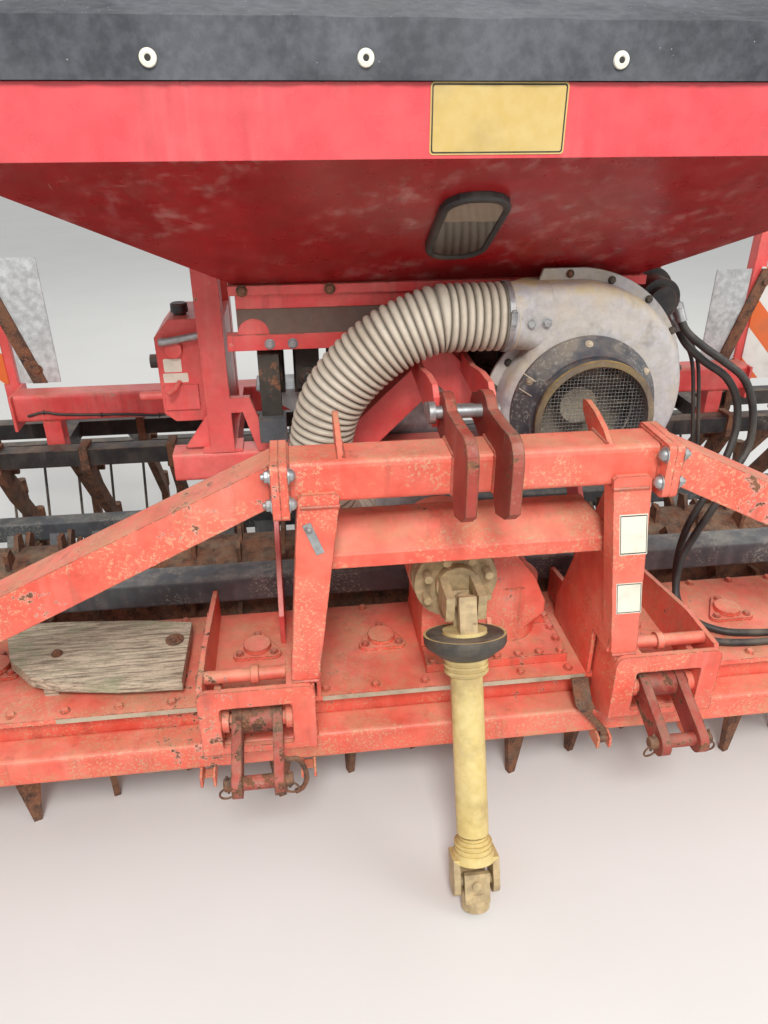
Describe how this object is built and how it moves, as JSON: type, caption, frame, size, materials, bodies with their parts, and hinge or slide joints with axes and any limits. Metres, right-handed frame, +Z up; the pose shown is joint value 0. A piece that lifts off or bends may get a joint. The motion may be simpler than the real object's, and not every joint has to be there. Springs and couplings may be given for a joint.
{
  "type": "seed drill",
  "caption": "Mounted pneumatic seed drill with a covered hopper, fan and air hose, on a power harrow with a tooth packer roller, three-point headstock and drive shaft.",
  "frame": {"origin": "on the ground, at the centre of the whole machine's box", "axes": "+X to the right seen from the tractor, +Y to the rear, +Z up"},
  "size_m": [2.984, 1.8366, 1.705],
  "materials": {
    "harrow_paint": "sun-faded red paint with chips",
    "drill_paint": "deeper red paint, dusty",
    "grey_paint": "weathered blue-grey paint",
    "black_paint": "worn black paint",
    "rusty_steel": "brown rust, polished where soil rubs",
    "zinc": "dull zinc plating",
    "cast_aluminium": "dusty cast aluminium",
    "guard_plastic": "faded yellow plastic with clay",
    "shaft_steel": "steel under dried clay",
    "pvc_sheet": "dark grey coated tarpaulin",
    "hose_plastic": "grey corrugated hose, dusty",
    "hose_rubber": "black hydraulic hose",
    "black_rubber": "black rubber profile",
    "weathered_wood": "grey weathered plank",
    "board_sheet": "grey sheet, striped on the outer pair"
  },
  "bodies": {
    "frame": {"gear_trough": "harrow_paint", "front_beam": "harrow_paint", "harrow_ends": "harrow_paint", "headstock_crossbeam": "harrow_paint", "headstock_uprights": "harrow_paint", "headstock_crossmember": "harrow_paint", "hitch_boxes": "harrow_paint", "top_link_ears": "rusty_steel", "top_link_pin": "zinc", "braces": "harrow_paint", "gearbox": "harrow_paint", "input_clutch": "shaft_steel", "packer_arms": "harrow_paint", "levelling_beam": "grey_paint", "scraper_bar": "grey_paint", "foot_board": "weathered_wood", "drill_frame": "drill_paint", "drill_a_frame": "drill_paint", "hopper": "drill_paint", "sight_window": "black_rubber", "tarpaulin": "pvc_sheet", "metering_unit": "drill_paint", "fan_housing": "cast_aluminium", "fan_suction_ring": "black_paint", "fan_guard": "zinc", "fan_motor": "black_paint", "air_hose": "hose_plastic", "injector": "zinc", "distributor_tower": "zinc", "drive_box": "drill_paint", "rear_beam": "drill_paint", "coulter_bars": "black_paint", "coulters_front": "rusty_steel", "coulters_rear": "rusty_steel", "road_boards": "board_sheet", "fan_hoses": "hose_rubber"},
    "drive_shaft": {"drive_shaft_guard": "guard_plastic"},
    "drive_shaft_inner": {"drive_shaft_slide": "shaft_steel"},
    "yoke_left": {"hitch_yoke_left": "rusty_steel"},
    "yoke_right": {"hitch_yoke_right": "rusty_steel"},
    "roller": {"packer_roller": "rusty_steel"},
    "fan_wheel": {"fan_impeller": "cast_aluminium"},
    "harrow_rake": {"cover_harrow": "black_paint"},
    "rest_strap": {"shaft_rest": "rusty_steel"},
    "tine_rotor_1": {"rotor_1": "rusty_steel"},
    "tine_rotor_2": {"rotor_2": "rusty_steel"},
    "tine_rotor_3": {"rotor_3": "rusty_steel"},
    "tine_rotor_4": {"rotor_4": "rusty_steel"},
    "tine_rotor_5": {"rotor_5": "rusty_steel"},
    "tine_rotor_6": {"rotor_6": "rusty_steel"},
    "tine_rotor_7": {"rotor_7": "rusty_steel"},
    "tine_rotor_8": {"rotor_8": "rusty_steel"},
    "tine_rotor_9": {"rotor_9": "rusty_steel"},
    "tine_rotor_10": {"rotor_10": "rusty_steel"}
  },
  "joints": [
    {"name": "shaft_swing", "type": "hinge", "parent": "frame", "child": "drive_shaft", "pos_m": [0, -0.6377, 0.628], "axis": [-1, 0, 0], "range_deg": [-5, 80]},
    {"name": "shaft_telescope", "type": "slide", "parent": "drive_shaft", "child": "drive_shaft_inner", "axis": [0, -0.3795, -0.9252], "range_m": [0, 0.15]},
    {"name": "yoke_left_swing", "type": "hinge", "parent": "frame", "child": "yoke_left", "pos_m": [-0.435, -0.6917, 0.41], "axis": [-1, 0, 0], "range_deg": [0, 52]},
    {"name": "yoke_right_swing", "type": "hinge", "parent": "frame", "child": "yoke_right", "pos_m": [0.435, -0.6917, 0.41], "axis": [-1, 0, 0], "range_deg": [0, 52]},
    {"name": "roller_turn", "type": "hinge", "parent": "frame", "child": "roller", "pos_m": [0, 0.0403, 0.23], "axis": [1, 0, 0], "continuous": true},
    {"name": "fan_turn", "type": "hinge", "parent": "frame", "child": "fan_wheel", "pos_m": [0.278, -0.4517, 0.966], "axis": [0, 1, 0], "continuous": true},
    {"name": "rake_lift", "type": "hinge", "parent": "frame", "child": "harrow_rake", "pos_m": [0, 0.5783, 0.62], "axis": [1, 0, 0], "range_deg": [0, 45]},
    {"name": "rest_swing", "type": "hinge", "parent": "frame", "child": "rest_strap", "pos_m": [0.338, -0.6717, 0.24], "axis": [1, 0, 0], "range_deg": [0, 110]},
    {"name": "rotor_1_turn", "type": "hinge", "parent": "frame", "child": "tine_rotor_1", "pos_m": [-1.3275, -0.4377, 0.255], "axis": [0, 0, 1], "continuous": true},
    {"name": "rotor_2_turn", "type": "hinge", "parent": "frame", "child": "tine_rotor_2", "pos_m": [-1.0325, -0.4377, 0.255], "axis": [0, 0, 1], "continuous": true},
    {"name": "rotor_3_turn", "type": "hinge", "parent": "frame", "child": "tine_rotor_3", "pos_m": [-0.7375, -0.4377, 0.255], "axis": [0, 0, 1], "continuous": true},
    {"name": "rotor_4_turn", "type": "hinge", "parent": "frame", "child": "tine_rotor_4", "pos_m": [-0.4425, -0.4377, 0.255], "axis": [0, 0, 1], "continuous": true},
    {"name": "rotor_5_turn", "type": "hinge", "parent": "frame", "child": "tine_rotor_5", "pos_m": [-0.1475, -0.4377, 0.255], "axis": [0, 0, 1], "continuous": true},
    {"name": "rotor_6_turn", "type": "hinge", "parent": "frame", "child": "tine_rotor_6", "pos_m": [0.1475, -0.4377, 0.255], "axis": [0, 0, 1], "continuous": true},
    {"name": "rotor_7_turn", "type": "hinge", "parent": "frame", "child": "tine_rotor_7", "pos_m": [0.4425, -0.4377, 0.255], "axis": [0, 0, 1], "continuous": true},
    {"name": "rotor_8_turn", "type": "hinge", "parent": "frame", "child": "tine_rotor_8", "pos_m": [0.7375, -0.4377, 0.255], "axis": [0, 0, 1], "continuous": true},
    {"name": "rotor_9_turn", "type": "hinge", "parent": "frame", "child": "tine_rotor_9", "pos_m": [1.0325, -0.4377, 0.255], "axis": [0, 0, 1], "continuous": true},
    {"name": "rotor_10_turn", "type": "hinge", "parent": "frame", "child": "tine_rotor_10", "pos_m": [1.3275, -0.4377, 0.255], "axis": [0, 0, 1], "continuous": true}
  ],
  "couplings": [
    {"joint": "rotor_2_turn", "follows": "rotor_1_turn", "ratio": -1},
    {"joint": "rotor_3_turn", "follows": "rotor_1_turn", "ratio": 1},
    {"joint": "rotor_4_turn", "follows": "rotor_1_turn", "ratio": -1},
    {"joint": "rotor_5_turn", "follows": "rotor_1_turn", "ratio": 1},
    {"joint": "rotor_6_turn", "follows": "rotor_1_turn", "ratio": -1},
    {"joint": "rotor_7_turn", "follows": "rotor_1_turn", "ratio": 1},
    {"joint": "rotor_8_turn", "follows": "rotor_1_turn", "ratio": -1},
    {"joint": "rotor_9_turn", "follows": "rotor_1_turn", "ratio": 1},
    {"joint": "rotor_10_turn", "follows": "rotor_1_turn", "ratio": -1}
  ]
}
